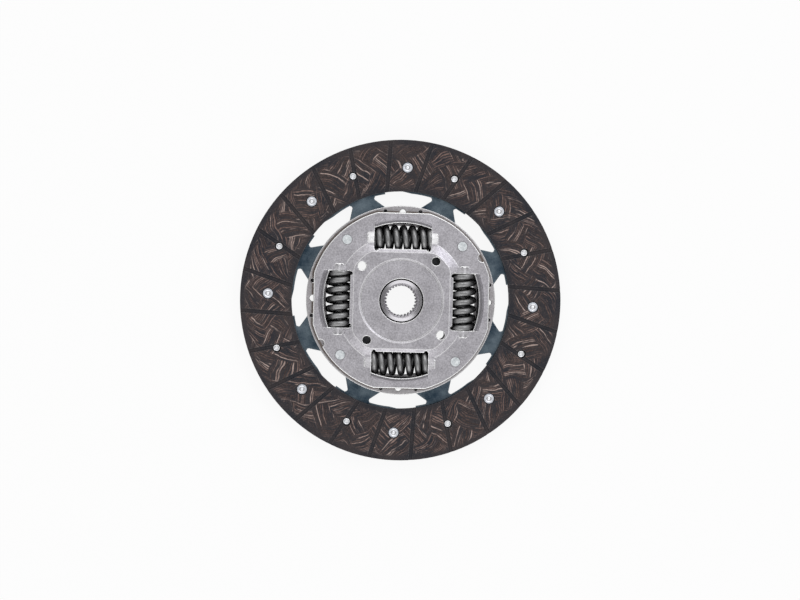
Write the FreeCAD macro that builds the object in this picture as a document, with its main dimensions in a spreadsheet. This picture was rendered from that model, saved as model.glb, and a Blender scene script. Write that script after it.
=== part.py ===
import FreeCAD, Part
import math
import os

import Sketcher

# Clutch disc with a sprung torsion damper.
#
# The origin is on the disc's axis, midway between the two friction facings. +Z points out of the
# side where the spring windows and the retainer plate are open to view. A spring window is centred
# on +X. Angles run anticlockwise about +Z, in degrees, and lengths are in millimetres.

V = FreeCAD.Vector
doc = FreeCAD.newDocument("clutch_disc")
os.makedirs("parts", exist_ok=True)


# Driving dimensions

SIZES = {
    # friction facings
    "facing_radius": 114.0,
    "facing_bore_radius": 77.5,
    "facing_thickness": 3.5,
    "facing_gap": 1.4,
    "groove_count": 24,
    "groove_width": 3.0,
    "groove_depth": 1.0,
    "groove_offset": 15.8,
    "groove_turn": -3.0,
    # facing rivets
    "rivet_count": 8,
    "rivet_circle": 94.4,
    "rivet_pitch_turn": 21.0,
    "rivet_head_radius": 3.95,
    "rivet_head_height": 1.0,
    "rivet_shank_radius": 2.1,
    "rivet_end_radius": 2.6,
    "rivet_end_height": 0.8,
    "rivet_web": 1.6,
    "rivet_seat_clearance": 0.2,
    "rivet_access_radius": 3.2,
    # cushion disc
    "cushion_thickness": 0.7,
    "cushion_radius": 113.2,
    "cushion_bore_radius": 51.5,
    "arm_count": 8,
    "arm_turn": 22.5,
    "arm_gap_floor_radius": 62.0,
    "arm_root_turn": 16.6,
    "arm_neck_radius": 74.4,
    "arm_neck_turn": 6.25,
    "paddle_radius": 76.2,
    "paddle_neck_turn": 7.3,
    "paddle_step_turn": 18.0,
    "paddle_step": 1.7,
    "paddle_lead": 12.8,
    "paddle_trail": 24.4,
    "joggle_turn": 10.0,
    "joggle_width": 7.0,
    "arm_corner_radius": 1.4,
    "window_relief_half_width": 25.6,
    "window_relief_radius": 59.3,
    "window_relief_floor": 45.0,
    # damper cover plates
    "retainer_radius": 64.7,
    "retainer_thickness": 2.5,
    "retainer_bore_radius": 15.6,
    "drive_radius": 67.2,
    "drive_thickness": 2.8,
    "flat_distance": 62.1,
    "edge_notch_radius": 2.9,
    "edge_notch_turn": 29.3,
    "edge_chamfer": 0.6,
    "edge_chamfer_height": 0.25,
    "platform_rise": 1.9,
    "platform_foot_radius": 47.1,
    "platform_foot_chord": 40.3,
    "platform_crest_radius": 41.0,
    "platform_crest_chord": 34.0,
    "platform_corner_radius": 9.0,
    "coin_radius": 28.7,
    "coin_ramp": 1.2,
    "coin_depth": 0.35,
    "window_end_clearance": 0.1,
    "window_inner": 36.4,
    "window_outer_radius": 54.9,
    "rear_window_outer_radius": 53.0,
    "hood_crest_radius": 56.6,
    "hood_foot_radius": 58.6,
    "relief_radius": 1.3,
    "relief_inset": 1.7,
    "bead_circle": 44.2,
    "bead_mouth_half_width": 5.3,
    "bead_end_half_width": 2.6,
    "bead_crest_half_width": 0.7,
    "bead_inside_half_width": 3.5,
    "bead_height": 1.7,
    "bead_length": 4.8,
    "sight_hole_circle": 37.0,
    "sight_hole_radius": 2.95,
    "sight_hole_turn": 50.0,
    "rear_sight_circle": 36.3,
    "rear_sight_radius": 3.7,
    "rim_hole_circle": 62.7,
    "rim_hole_radius": 2.1,
    "rim_slot_circle": 64.0,
    "rim_slot_radius": 1.4,
    "rim_slot_turn": 11.2,
    # stop pins
    "pin_count": 4,
    "pin_circle": 57.7,
    "pin_turn": 43.0,
    "pin_shoulder_radius": 4.5,
    "pin_shoulder_length": 10.0,
    "pin_shank_radius": 2.7,
    "pin_front_head_radius": 3.3,
    "pin_front_head_height": 0.5,
    "pin_rear_head_radius": 4.6,
    "pin_rear_head_height": 1.8,
    "pin_hole_clearance": 0.05,
    "drive_turn": 12.0,
    "coast_turn": 8.0,
    "stop_clearance": 0.3,
    # damper springs
    "spring_count": 4,
    "spring_circle": 43.8,
    "spring_length": 40.0,
    "spring_coil_radius": 7.75,
    "spring_wire": 4.7,
    "spring_dead_pitch": 4.75,
    "spring_dead_turns": 1.0,
    "spring_active_turns": 4.82,
    "spring_clearance": 0.3,
    "spring_start_1": 152.0,
    "spring_start_2": 265.0,
    "spring_start_3": 197.0,
    "spring_start_4": 152.0,
    # hub and its flange
    "hub_radius": 15.0,
    "hub_front": 17.0,
    "hub_length": 25.0,
    "hub_chamfer": 0.5,
    "hub_lead_in": 1.4,
    "spline_count": 28,
    "spline_tip_radius": 10.4,
    "spline_root_radius": 11.5,
    "spline_tip_half_gap": 0.72,
    "spline_root_half_gap": 0.4,
    "spline_mouth": 0.9,
    "seat_radius": 17.0,
    "tooth_count": 12,
    "tooth_radius": 19.2,
    "tooth_half_width": 2.0,
    "tooth_clearance": 0.05,
    "flange_thickness": 8.0,
    "flange_radius": 60.0,
    "flange_sight_radius": 4.6,
    "flange_sight_circle": 36.5,
    "pin_notch_floor": 52.5,
    # friction pack
    "friction_ring_inner": 16.5,
    "friction_ring_outer": 28.0,
    "friction_ring_thickness": 1.0,
    "support_washer_outer": 28.4,
    "support_washer_thickness": 0.5,
    "cone_spring_inner": 17.6,
    "cone_spring_outer": 27.2,
    "cone_spring_thickness": 0.5,
    "bush_radius": 26.0,
    "bush_clearance": 0.25,
    "bush_wall": 1.8,
    "bush_flange_thickness": 2.9,
}

sheet = doc.addObject("Spreadsheet::Sheet", "Sizes")
for row, (alias, number) in enumerate(SIZES.items(), start=1):
    sheet.set(f"A{row}", alias.replace("_", " "))
    sheet.set(f"B{row}", str(number))
    sheet.setAlias(f"B{row}", alias)

# Sizes that follow from the driving ones: expressions in the same sheet
DERIVED = {
    "facing_back": "facing_gap / 2",
    "window_half_length": "spring_length / 2 + window_end_clearance",
    "retainer_inner_face": "drive_thickness + pin_shoulder_length",
    "damper_middle": "drive_thickness + pin_shoulder_length / 2",
    "flange_front": "damper_middle + flange_thickness / 2",
    "flange_back": "damper_middle - flange_thickness / 2",
    "tunnel_radius": "spring_coil_radius + spring_wire / 2 + spring_clearance",
    "tunnel_depth": "pin_shoulder_length / 2",
    "pin_half_turn": "asin((pin_shoulder_radius + stop_clearance) / pin_circle) / 1 deg",
    "platform_underside": "retainer_inner_face + platform_rise",
    "bead_radius": "(bead_inside_half_width ^ 2 + bead_height ^ 2) / (2 * bead_height)",
    "spring_active_length": "spring_length - 2 * spring_dead_turns * spring_dead_pitch",
    "bush_bore_radius": "hub_radius + bush_clearance",
    "bush_sleeve_radius": "bush_bore_radius + bush_wall",
    "drive_bore_radius": "bush_sleeve_radius + pin_hole_clearance",
}
first_free_row = len(SIZES) + 1
for row, (alias, formula) in enumerate(DERIVED.items(), start=first_free_row):
    sheet.set(f"A{row}", alias.replace("_", " "))
    sheet.set(f"B{row}", "=" + formula)
    sheet.setAlias(f"B{row}", alias)
doc.recompute()


def size(alias):
    """The value of one cell as a plain number."""
    value = getattr(sheet, alias)
    return float(getattr(value, "Value", value))


# Helpers for expressions. A size's name stands for its cell, and every text below is an
# expression that the sketch or feature keeps.


def cell(formula):
    """The formula with each size's name pointed at the sheet."""
    words = []
    word = ""
    for character in str(formula) + " ":
        if character.isalnum() or character == "_":
            word += character
            continue
        words.append("Sizes." + word if word in SIZES or word in DERIVED else word)
        words.append(character)
        word = ""
    return "".join(words).strip()


def value_of(formula):
    result = sheet.evalExpression(cell(formula).replace("Sizes.", ""))
    return float(getattr(result, "Value", result))


def polar(radius, turn):
    """The point at a radius and an angle, as two expressions."""
    return f"({radius}) * cos({turn})", f"({radius}) * sin({turn})"


# Helpers for bodies and sketches


def new_body(name):
    body = doc.addObject("PartDesign::Body", name)
    body.Label = name
    body.AllowCompound = True
    return body


def origin_feature(body, role):
    return next(item for item in body.Origin.OriginFeatures if item.Role == role)


def new_sketch(body, name, height="0", turn="0", plane="XY_Plane"):
    """A sketch on one of the body's origin planes.

    On XY_Plane it lies at a height and its own x axis points to the angle turn. On XZ_Plane its
    x axis is turned about +Z in the same way and its y axis is +Z, and height isn't used.
    """
    sketch = body.newObject("Sketcher::SketchObject", f"{body.Label}_{name}")
    sketch.AttachmentSupport = [(origin_feature(body, plane), "")]
    sketch.MapMode = "FlatFace"
    if plane == "XY_Plane":
        sketch.AttachmentOffset = FreeCAD.Placement(V(), FreeCAD.Rotation(V(0, 0, 1), 1))
        sketch.setExpression("AttachmentOffset.Base.z", cell(height))
    else:
        sketch.AttachmentOffset = FreeCAD.Placement(V(), FreeCAD.Rotation(V(0, 1, 0), 1))
    sketch.setExpression("AttachmentOffset.Rotation.Angle", cell(turn))
    return sketch


def bind(sketch, kind, parts, formula):
    """Add one dimension and bind it to its expression."""
    index = sketch.addConstraint(Sketcher.Constraint(kind, *parts, value_of(formula)))
    sketch.setExpression(f"Constraints[{index}]", cell(formula))


def pin_point(sketch, edge, end, point, both=True):
    """Fix a vertex by its distances from the sketch's origin."""
    x, y = value_of(point[0]), value_of(point[1])
    if both or abs(x) < abs(y):
        bind(sketch, "DistanceX", (-1, 1, edge, end), point[0])
    if both or abs(x) >= abs(y):
        bind(sketch, "DistanceY", (-1, 1, edge, end), point[1])


def draw_circle(sketch, radius, x="0", y="0"):
    centre = V(value_of(x), value_of(y), 0)
    edge = sketch.addGeometry(Part.Circle(centre, V(0, 0, 1), value_of(radius)))
    if x == "0" and y == "0":
        sketch.addConstraint(Sketcher.Constraint("Coincident", edge, 3, -1, 1))
    else:
        pin_point(sketch, edge, 3, (x, y))
    bind(sketch, "Radius", (edge,), radius)


def draw_outline(sketch, steps):
    """A closed outline. Each step is its start point, or its start point, an arc's centre and the
    side to which the arc turns: +1 for anticlockwise, -1 for clockwise."""
    points = [V(value_of(step[0][0]), value_of(step[0][1]), 0) for step in steps]
    count = len(steps)
    edges = []
    for index, step in enumerate(steps):
        start, end = points[index], points[(index + 1) % count]
        if len(step) == 1:
            edges.append((sketch.addGeometry(Part.LineSegment(start, end)), 1, 2))
            continue
        centre = V(value_of(step[1][0]), value_of(step[1][1]), 0)
        circle = Part.Circle(centre, V(0, 0, 1), (start - centre).Length)
        angles = [math.atan2(p.y - centre.y, p.x - centre.x) for p in (start, end)]
        if step[2] > 0:
            arc = Part.ArcOfCircle(circle, angles[0], angles[1])
            edges.append((sketch.addGeometry(arc), 1, 2))
        else:
            arc = Part.ArcOfCircle(circle, angles[1], angles[0])
            edges.append((sketch.addGeometry(arc), 2, 1))
    for index, step in enumerate(steps):
        edge, start_end, far_end = edges[index]
        following, following_start, _ = edges[(index + 1) % count]
        sketch.addConstraint(
            Sketcher.Constraint("Coincident", edge, far_end, following, following_start))
        if len(step) > 1:
            pin_point(sketch, edge, 3, step[1])
    for index, step in enumerate(steps):
        after_arc = len(steps[index - 1]) > 1
        pin_point(sketch, edges[index][0], edges[index][1], step[0], both=not after_arc)


def add_axis(sketch, distance):
    """A construction line along the sketch's y axis, to turn a profile about."""
    x = value_of(distance)
    line = sketch.addGeometry(Part.LineSegment(V(x, -1, 0), V(x, 1, 0)), True)
    pin_point(sketch, line, 1, (distance, "-1"))
    pin_point(sketch, line, 2, (distance, "1"))


def feature(body, kind, name, sketch, **settings):
    """A sketch-based feature. Text settings are expressions and the others plain values."""
    made = body.newObject("PartDesign::" + kind, f"{body.Label}_{name}")
    if kind.endswith("Loft"):
        made.Profile = sketch[0]
        made.Sections = list(sketch[1:])
        for used in sketch:
            used.Visibility = False
    else:
        made.Profile = sketch
    for key, setting in settings.items():
        if isinstance(setting, str) and key in ("Length", "Angle"):
            made.setExpression(key, cell(setting))
        else:
            setattr(made, key, setting)
    doc.recompute()
    return made


def pad(body, name, sketch, length, **settings):
    return feature(body, "Pad", name, sketch, Length=length, **settings)


def pocket(body, name, sketch, length="", **settings):
    """A pocket below its sketch, or right through the body both ways if it has no length."""
    before = body.Shape.Volume
    if length:
        made = feature(body, "Pocket", name, sketch, Length=length, **settings)
    else:
        made = feature(body, "Pocket", name, sketch, Type="ThroughAll", Midplane=True, **settings)
    if not body.Shape.Volume < before:
        raise RuntimeError(f"{made.Label} cuts nothing")
    return made


def revolve(body, name, sketch, axis=None, **settings):
    """A full turn about the body's own axis, unless an axis or an angle is given."""
    return feature(body, "Revolution", name, sketch,
                   ReferenceAxis=axis or (origin_feature(body, "Z_Axis"), [""]), **settings)


def around(body, name, originals, count):
    """A ring of copies about the body's own axis, which becomes the body's tip."""
    ring = body.newObject("PartDesign::PolarPattern", f"{body.Label}_{name}")
    ring.Originals = originals
    ring.Axis = (origin_feature(body, "Z_Axis"), [""])
    ring.Angle = 360
    ring.setExpression("Occurrences", cell(count))
    body.Tip = ring
    doc.recompute()
    return ring


def edges_where(shape, test):
    return [f"Edge{number}" for number, edge in enumerate(shape.Edges, start=1) if test(edge)]


def dress(body, kind, name, test, amount):
    """Fillet or chamfer the edges of the body's tip that pass a test."""
    base = body.Tip
    made = body.newObject("PartDesign::" + kind, f"{body.Label}_{name}")
    made.Base = (base, edges_where(base.Shape, test))
    made.setExpression("Radius" if kind == "Fillet" else "Size", cell(amount))
    doc.recompute()
    return made


# Friction facings: two like rings, the rear one turned over


def make_facing(name):
    body = new_body(name)
    ring = new_sketch(body, "ring")
    draw_circle(ring, "facing_radius")
    draw_circle(ring, "facing_bore_radius")
    pad(body, "disc", ring, "facing_thickness")

    access = new_sketch(body, "access", "facing_thickness", "arm_turn")
    draw_circle(access, "rivet_access_radius", "rivet_circle")
    access_hole = pocket(body, "access_hole", access)
    around(body, "access_holes", [access_hole], "rivet_count")

    head_turn = "arm_turn + rivet_pitch_turn"
    seat = new_sketch(body, "seat", "facing_thickness", head_turn)
    draw_circle(seat, "rivet_head_radius + rivet_seat_clearance", "rivet_circle")
    rivet_seat = pocket(body, "rivet_seat", seat, "facing_thickness - rivet_web")
    around(body, "rivet_seats", [rivet_seat], "rivet_count")
    shank = new_sketch(body, "shank", "facing_thickness", head_turn)
    draw_circle(shank, "rivet_shank_radius", "rivet_circle")
    shank_hole = pocket(body, "shank_hole", shank)
    around(body, "shank_holes", [shank_hole], "rivet_count")

    groove = new_sketch(body, "groove", "facing_thickness", "groove_turn")
    left, right = "facing_bore_radius * 0.9", "facing_radius * 1.1"
    low, high = "groove_offset - groove_width / 2", "groove_offset + groove_width / 2"
    draw_outline(groove, [((left, low),), ((right, low),), ((right, high),), ((left, high),)])
    cut = pocket(body, "groove_cut", groove, "groove_depth")
    around(body, "grooves", [cut], "groove_count")
    return body


def flip_over(body):
    """Turn a body over so that its rivet circle falls on the other facing's clearance holes."""
    turn = math.radians(size("arm_turn") + size("rivet_pitch_turn") / 2)
    axis = V(math.cos(turn), math.sin(turn), 0)
    body.Placement = FreeCAD.Placement(V(), FreeCAD.Rotation(axis, 180))


front_facing = make_facing("front_facing")
front_facing.setExpression("Placement.Base.z", cell("facing_back"))
rear_facing = make_facing("rear_facing")
flip_over(rear_facing)
rear_facing.setExpression("Placement.Base.z", cell("-facing_back"))


# Facing rivets: semi-tubular, with the head sunk in its facing


def make_facing_rivets(name):
    body = new_body(name)
    profile = new_sketch(body, "profile", turn="arm_turn + rivet_pitch_turn", plane="XZ_Plane")
    seat = "facing_back + rivet_web"
    top = f"{seat} + rivet_head_height"
    under = "0"
    end = "-rivet_end_height"
    stations = [
        ("0", top),
        ("rivet_head_radius", top),
        ("rivet_head_radius", seat),
        ("rivet_shank_radius", seat),
        ("rivet_shank_radius", under),
        ("rivet_end_radius", under),
        ("rivet_end_radius", end),
        ("0", end),
    ]
    draw_outline(profile, [((f"rivet_circle + {radius}", height),) for radius, height in stations])
    add_axis(profile, "rivet_circle")
    turned = revolve(body, "turned", profile, (profile, ["Axis0"]))
    around(body, "rivets", [turned], "rivet_count")
    return body


make_facing_rivets("front_facing_rivets")
rear_rivets = make_facing_rivets("rear_facing_rivets")
flip_over(rear_rivets)


# Cushion disc: one sheet with eight arms, each ending in a paddle that carries two rivets. The
# first lobe lies on the rear facing and the second, past a joggle, on the front facing.


def make_cushion_disc():
    body = new_body("cushion_disc")
    floor = "-cushion_thickness"
    ring = new_sketch(body, "ring", floor)
    draw_circle(ring, "cushion_radius")
    draw_circle(ring, "cushion_bore_radius")
    pad(body, "sheet", ring, "cushion_thickness")

    joggle = "(arm_turn + joggle_turn)"
    inner, outer = "((paddle_radius + arm_neck_radius) / 2)", "(cushion_radius * 1.1)"
    near, ramp_end = "-joggle_width / 2", "joggle_width / 2"
    far_turn = "(paddle_trail - joggle_turn + 3)"
    far_edge = [(polar(outer, far_turn),), (polar(inner, far_turn),)]
    past = new_sketch(body, "past_joggle", turn=joggle)
    draw_outline(past, [((inner, near),), ((outer, near),)] + far_edge)
    clear = pocket(body, "clear_lobe", past)

    ramp = new_sketch(body, "ramp", turn=f"{joggle} + 90", plane="XZ_Plane")
    ramp.setExpression("AttachmentOffset.Base.x", cell(f"{inner} * cos({joggle})"))
    ramp.setExpression("AttachmentOffset.Base.z", cell(f"-{inner} * sin({joggle})"))
    draw_outline(ramp, [((near, floor),), ((ramp_end, "0"),),
                        ((ramp_end, "cushion_thickness"),), ((near, "0"),)])
    joggle_pad = pad(body, "joggle", ramp, f"{outer} - {inner}")
    raised = new_sketch(body, "raised", turn=joggle)
    draw_outline(raised, [((inner, ramp_end),), ((outer, ramp_end),)] + far_edge)
    raised_lobe = pad(body, "raised_lobe", raised, "cushion_thickness")
    around(body, "lobes", [clear, joggle_pad, raised_lobe], "arm_count")

    trim = new_sketch(body, "trim", floor)
    draw_circle(trim, "cushion_radius * 1.3")
    draw_circle(trim, "cushion_radius")
    pocket(body, "trim_edge", trim)

    pitch = "360 / arm_count"
    centre = ("0", "0")
    gap = new_sketch(body, "gap", floor, "arm_turn")
    lead = f"{pitch} - paddle_lead"
    draw_outline(gap, [
        (polar("arm_gap_floor_radius", "arm_root_turn"), centre, 1),
        (polar("arm_gap_floor_radius", f"{pitch} - arm_root_turn"),),
        (polar("arm_neck_radius", f"{pitch} - arm_neck_turn"),),
        (polar("paddle_radius", f"{pitch} - paddle_neck_turn"), centre, -1),
        (polar("paddle_radius", lead),),
        (polar("cushion_radius * 1.1", lead),),
        (polar("cushion_radius * 1.1", "paddle_trail"),),
        (polar("paddle_radius + paddle_step", "paddle_trail"),),
        (polar("paddle_radius", "paddle_step_turn"), centre, -1),
        (polar("paddle_radius", "paddle_neck_turn"),),
        (polar("arm_neck_radius", "arm_neck_turn"),),
    ])
    gap_cut = pocket(body, "gap_cut", gap)
    around(body, "gaps", [gap_cut], "arm_count")
    neck = size("arm_neck_radius")
    dress(body, "Fillet", "arm_corners",
          lambda edge: all(abs(math.hypot(v.X, v.Y) - neck) < 0.01 for v in edge.Vertexes)
          and abs(edge.tangentAt(edge.FirstParameter).z) > 0.99, "arm_corner_radius")

    rivets = new_sketch(body, "rivet_pair", floor, "arm_turn")
    draw_circle(rivets, "rivet_shank_radius", "rivet_circle")
    draw_circle(rivets, "rivet_shank_radius", *polar("rivet_circle", "rivet_pitch_turn"))
    rivet_pair = pocket(body, "rivet_holes", rivets)
    around(body, "rivet_hole_ring", [rivet_pair], "rivet_count")

    relief = new_sketch(body, "window_relief", floor)
    half = "window_relief_half_width"
    edge = f"sqrt(window_relief_radius ^ 2 - {half} ^ 2)"
    draw_outline(relief, [
        (("window_relief_floor", f"-{half}"),),
        ((edge, f"-{half}"), centre, 1),
        ((edge, half),),
        (("window_relief_floor", half),),
    ])
    relief_cut = pocket(body, "window_relief_cut", relief)
    around(body, "window_reliefs", [relief_cut], "spring_count")
    add_pin_holes(body, floor, "pin_turn")
    return body


def add_pin_holes(body, height, turn):
    hole = new_sketch(body, "pin_hole", height, turn)
    draw_circle(hole, "pin_shank_radius + pin_hole_clearance", "pin_circle")
    cut = pocket(body, "pin_hole_cut", hole)
    around(body, "pin_holes", [cut], "pin_count")


make_cushion_disc()


# Damper cover plates. Both are pressed in the same form: a raised platform in the middle, four
# windows with a hood over each spring's outer side, and a bead beyond each end of a window. A
# cover is drawn with its inner face at height 0 and its raised side up.


def quarter_turns(steps):
    """The steps of a first quarter and their copies a quarter turn on, three times."""
    outline = []
    for _ in range(4):
        outline += steps
        steps = [tuple(turned(item) for item in step) for step in steps]
    return outline


def turned(item):
    return (f"-({item[1]})", item[0]) if isinstance(item, tuple) else item


def platform_outline(body, name, height, radius, chord):
    """A circle cut by four chords, with its corners rounded."""
    corner = "platform_corner_radius"
    along = f"({chord} - {corner})"
    across = f"sqrt(({radius} - {corner}) ^ 2 - {along} ^ 2)"
    reach = f"({radius} / ({radius} - {corner}))"
    sketch = new_sketch(body, name, height)
    draw_outline(sketch, quarter_turns([
        ((chord, f"-{across}"),),
        ((chord, across), (along, across), 1),
        ((f"{along} * {reach}", f"{across} * {reach}"), ("0", "0"), 1),
        ((f"{across} * {reach}", f"{along} * {reach}"), (across, along), 1),
    ]))
    return sketch


def bead_section(body, name, height, half_width, away):
    """A bead's section at a distance from the window's middle: two slopes and a flat crest."""
    sketch = new_sketch(body, name, plane="XZ_Plane")
    sketch.setExpression("AttachmentOffset.Base.z", cell(away))
    foot, crest = f"({height} - 0.4)", f"({height} + bead_height)"
    draw_outline(sketch, [
        ((f"bead_circle - {half_width}", foot),),
        ((f"bead_circle + {half_width}", foot),),
        ((f"bead_circle + {half_width}", height),),
        (("bead_circle + bead_crest_half_width", crest),),
        (("bead_circle - bead_crest_half_width", crest),),
        ((f"bead_circle - {half_width}", height),),
    ])
    return sketch


def bead_inside(body):
    """The hollow of the beads: a segment of a circle, open to the plate's inner face."""
    left, right = "bead_circle - bead_inside_half_width", "bead_circle + bead_inside_half_width"
    sketch = new_sketch(body, "inside_profile", plane="XZ_Plane")
    draw_outline(sketch, [
        ((left, "-1"),),
        ((right, "-1"),),
        ((right, "0"), ("bead_circle", "bead_height - bead_radius"), 1),
        ((left, "0"),),
    ])
    return sketch


def make_cover(name, radius, thickness, bore, outer, side="", flats=False):
    """One cover plate. The side is "-" for the plate that is turned over."""
    body = new_body(name)
    top = f"{thickness} + platform_rise"
    centre = ("0", "0")

    blank = new_sketch(body, "blank")
    if flats:
        half_flat = f"sqrt({radius} ^ 2 - flat_distance ^ 2)"
        draw_outline(blank, quarter_turns([
            (("flat_distance", f"-{half_flat}"),),
            (("flat_distance", half_flat), centre, 1),
        ]))
    else:
        draw_circle(blank, radius)
    pad(body, "annulus", blank, thickness)
    upper = size(thickness)
    rounding = dress(body, "Chamfer", "edge_break",
                     lambda edge: all(abs(vertex.Z - upper) < 1e-6 for vertex in edge.Vertexes),
                     "edge_chamfer")
    rounding.ChamferType = "Two distances"
    rounding.setExpression("Size2", cell("edge_chamfer_height"))

    foot, crest = ("platform_foot_radius", "platform_foot_chord"), \
        ("platform_crest_radius", "platform_crest_chord")
    raised = [platform_outline(body, "foot", thickness, *foot),
              platform_outline(body, "crest", top, *crest)]
    feature(body, "AdditiveLoft", "platform", raised, Ruled=True)
    sunk = [platform_outline(body, "foot_inside", "0", *foot),
            platform_outline(body, "crest_inside", "platform_rise", *crest)]
    feature(body, "SubtractiveLoft", "platform_inside", sunk, Ruled=True)

    half = "window_half_length"
    ends = [("rear_end", "bead_end_half_width", f"-({half} + bead_length)"),
            ("rear_mouth", "bead_mouth_half_width", f"-{half}"),
            ("front_mouth", "bead_mouth_half_width", half),
            ("front_end", "bead_end_half_width", f"{half} + bead_length")]
    ridge = feature(body, "AdditiveLoft", "ridge", [
        bead_section(body, f"bead_{end}", thickness, width, away) for end, width, away in ends],
        Ruled=True)
    inside_end = f"2 * ({half} + bead_length - {thickness} / 2)"
    hollow = pocket(body, "ridge_inside", bead_inside(body), inside_end, Midplane=True)

    window = new_sketch(body, "window")
    edge = f"sqrt(hood_foot_radius ^ 2 - {half} ^ 2)"
    draw_outline(window, [
        (("window_inner", f"-{half}"),),
        ((edge, f"-{half}"), centre, 1),
        ((edge, half),),
        (("window_inner", half),),
    ])
    window_cut = pocket(body, "window_cut", window)

    hood_profile = new_sketch(body, "hood_profile", plane="XZ_Plane")
    draw_outline(hood_profile, [
        (("hood_foot_radius", thickness),),
        (("hood_crest_radius", top),),
        ((outer, top),),
        ((outer, "platform_rise"),),
        (("hood_crest_radius", "platform_rise"),),
        (("hood_foot_radius", "0"),),
    ])
    hood_turn = f"(asin({half} / {outer}) / 1 deg + 2)"
    hood = revolve(body, "hood", hood_profile, Angle=f"2 * {hood_turn}", Midplane=True)

    trim = new_sketch(body, "hood_trim", top)
    near, far = f"sqrt({outer} ^ 2 - {half} ^ 2) - 1", "hood_foot_radius + 1"
    beyond = f"{outer} * sin({hood_turn}) + 3"
    draw_outline(trim, [((near, half),), ((far, half),), ((far, beyond),), ((near, beyond),)])
    draw_outline(trim, [((near, f"-{half}"),), ((near, f"-({beyond})"),),
                        ((far, f"-({beyond})"),), ((far, f"-{half}"),)])
    hood_ends = pocket(body, "hood_ends", trim, "platform_rise")

    tunnel = new_sketch(body, "tunnel", plane="XZ_Plane")
    draw_circle(tunnel, "tunnel_radius", "spring_circle", "-tunnel_depth")
    spring_way = pocket(body, "spring_way", tunnel, f"2 * {half}", Midplane=True)

    relief = new_sketch(body, "corner_relief")
    for sign in ("", "-"):
        draw_circle(relief, "relief_radius", "window_inner - 0.2", f"{sign}({half} - relief_inset)")
    corners = pocket(body, "corner_reliefs", relief)
    around(body, "windows", [ridge, hollow, window_cut, hood, hood_ends, spring_way, corners],
           "spring_count")

    bore_sketch = new_sketch(body, "bore")
    draw_circle(bore_sketch, bore)
    pocket(body, "bore_cut", bore_sketch)
    add_pin_holes(body, "0", f"{side}pin_turn")
    return body


def add_hole_ring(body, name, radius, circle, turn, count="4"):
    """A ring of like holes, right through."""
    hole = new_sketch(body, name, turn=turn)
    draw_circle(hole, radius, circle)
    cut = pocket(body, f"{name}_cut", hole)
    return around(body, f"{name}_ring", [cut], count)


retainer = make_cover("retainer_plate", "retainer_radius", "retainer_thickness",
                      "retainer_bore_radius", "window_outer_radius", flats=True)
add_hole_ring(retainer, "sight_hole", "sight_hole_radius", "sight_hole_circle", "sight_hole_turn")
add_hole_ring(retainer, "edge_notch", "edge_notch_radius", "retainer_radius",
              "edge_notch_turn", "2")
coin = new_sketch(retainer, "coin", plane="XZ_Plane")
coin_top = "(retainer_thickness + platform_rise)"
draw_outline(coin, [
    (("0", f"{coin_top} - coin_depth"),),
    (("coin_radius", f"{coin_top} - coin_depth"),),
    (("coin_radius + coin_ramp", coin_top),),
    (("coin_radius + coin_ramp", f"{coin_top} + 1"),),
    (("0", f"{coin_top} + 1"),),
])
feature(retainer, "Groove", "coined_step", coin,
        ReferenceAxis=(origin_feature(retainer, "Z_Axis"), [""]), Angle=360)
retainer.setExpression("Placement.Base.z", cell("retainer_inner_face"))

drive = make_cover("drive_plate", "drive_radius", "drive_thickness", "drive_bore_radius",
                   "rear_window_outer_radius", side="-")
add_hole_ring(drive, "sight_hole", "rear_sight_radius", "rear_sight_circle", "-sight_hole_turn")
add_hole_ring(drive, "rim_hole", "rim_hole_radius", "rim_hole_circle", "0")
add_hole_ring(drive, "rim_slot", "rim_slot_radius", "rim_slot_circle", "rim_slot_turn")
add_hole_ring(drive, "other_rim_slot", "rim_slot_radius", "rim_slot_circle", "-rim_slot_turn")
drive.Placement = FreeCAD.Placement(V(), FreeCAD.Rotation(V(1, 0, 0), 180))
drive.setExpression("Placement.Base.z", cell("drive_thickness"))


# Stop pins: shouldered rivets that hold the two covers apart


def make_stop_pin(number):
    body = new_body(f"stop_pin_{number}")
    profile = new_sketch(body, "profile", turn=f"pin_turn + {number - 1} * 360 / pin_count",
                         plane="XZ_Plane")
    rear_head = "-cushion_thickness - pin_rear_head_height"
    front = "retainer_inner_face + retainer_thickness"
    stations = [
        ("0", rear_head),
        ("pin_rear_head_radius", rear_head),
        ("pin_rear_head_radius", "-cushion_thickness"),
        ("pin_shank_radius", "-cushion_thickness"),
        ("pin_shank_radius", "drive_thickness"),
        ("pin_shoulder_radius", "drive_thickness"),
        ("pin_shoulder_radius", "retainer_inner_face"),
        ("pin_shank_radius", "retainer_inner_face"),
        ("pin_shank_radius", front),
        ("pin_front_head_radius", front),
        ("pin_front_head_radius", f"{front} + pin_front_head_height"),
        ("0", f"{front} + pin_front_head_height"),
    ]
    draw_outline(profile, [((f"pin_circle + {radius}", height),) for radius, height in stations])
    add_axis(profile, "pin_circle")
    revolve(body, "turned", profile, (profile, ["Axis0"]))
    return body


for pin_number in range(1, 5):
    make_stop_pin(pin_number)


# Friction pack round the hub


def make_turned(name, stations):
    """A ring turned about the disc's axis from the corners of its section."""
    body = new_body(name)
    profile = new_sketch(body, "profile", plane="XZ_Plane")
    draw_outline(profile, [(station,) for station in stations])
    revolve(body, "turned", profile)
    return body


def make_washer(name, inner, outer, bottom, top):
    make_turned(name, [(inner, bottom), (outer, bottom), (outer, top), (inner, top)])


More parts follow.
